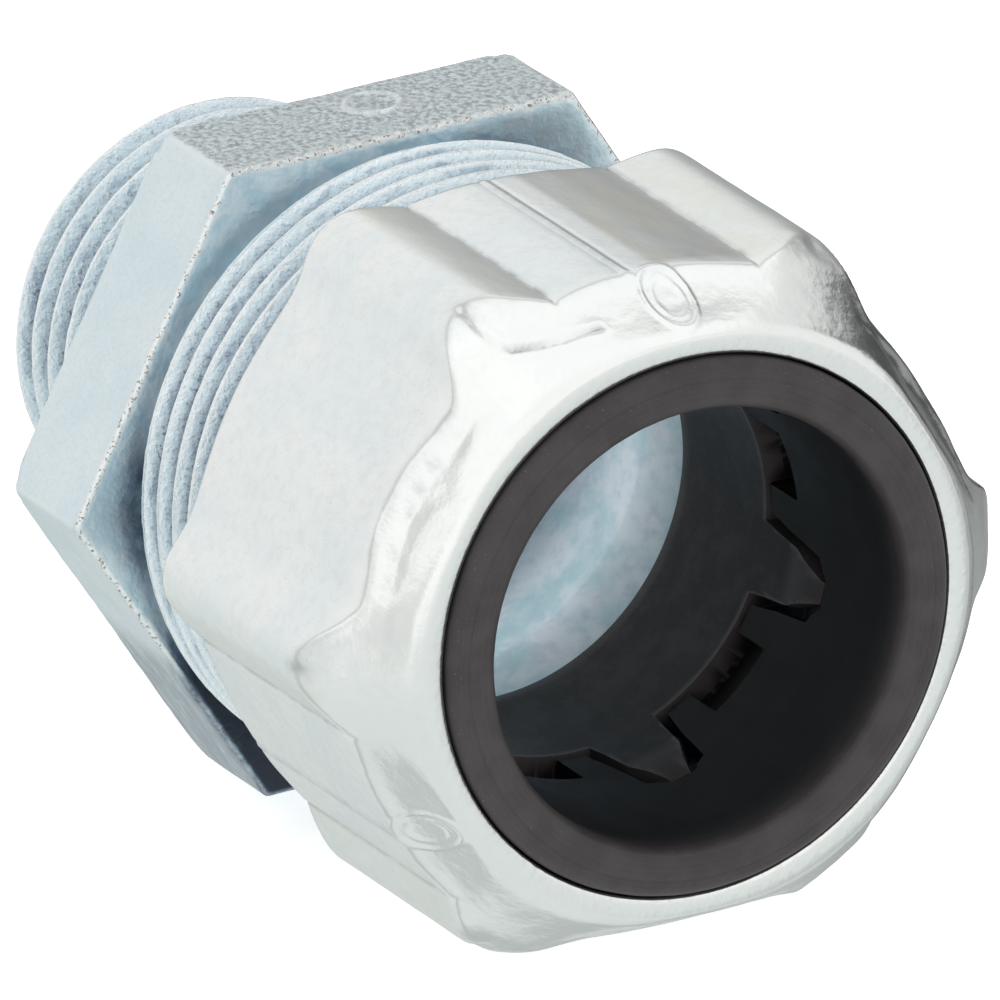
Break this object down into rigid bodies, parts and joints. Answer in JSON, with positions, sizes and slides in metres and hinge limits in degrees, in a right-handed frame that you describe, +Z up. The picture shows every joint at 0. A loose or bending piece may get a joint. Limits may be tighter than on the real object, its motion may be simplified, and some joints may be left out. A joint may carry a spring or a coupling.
{
  "type": "conduit compression fitting",
  "caption": "Threaded hexagonal body with a lobed gland nut that presses a black sealing ring and a split grip ring onto a conduit.",
  "frame": {"origin": "on the bore axis at mid length, between the thread's free end and the sealing ring's front", "axes": "+X along the bore axis towards the conduit mouth, +Z up and normal to one flat of the body's hexagon, +Y completes the right-handed frame"},
  "size_m": [0.0512, 0.0375, 0.0339],
  "materials": {
    "body": "bluish zinc plating on cast and machined faces",
    "gland_nut": "bright zinc plating",
    "seal_ring": "matt black",
    "grip_ring": "black oxide"
  },
  "bodies": {
    "fitting_body": {"body": "body"},
    "rings": {"seal_ring": "seal_ring", "grip_ring": "grip_ring"},
    "nut": {"gland_nut": "gland_nut"}
  },
  "joints": [
    {"name": "ring_travel", "type": "slide", "parent": "fitting_body", "child": "rings", "axis": [1, 0, 0], "range_m": [-0.002, 0.0064]},
    {"name": "nut_turn", "type": "hinge", "parent": "rings", "child": "nut", "pos_m": [0, 0, 0], "axis": [1, 0, 0], "range_deg": [-450, 1440]}
  ],
  "couplings": [
    {"joint": "ring_travel", "follows": "nut_turn", "m_per_rad": 0.00025266}
  ]
}
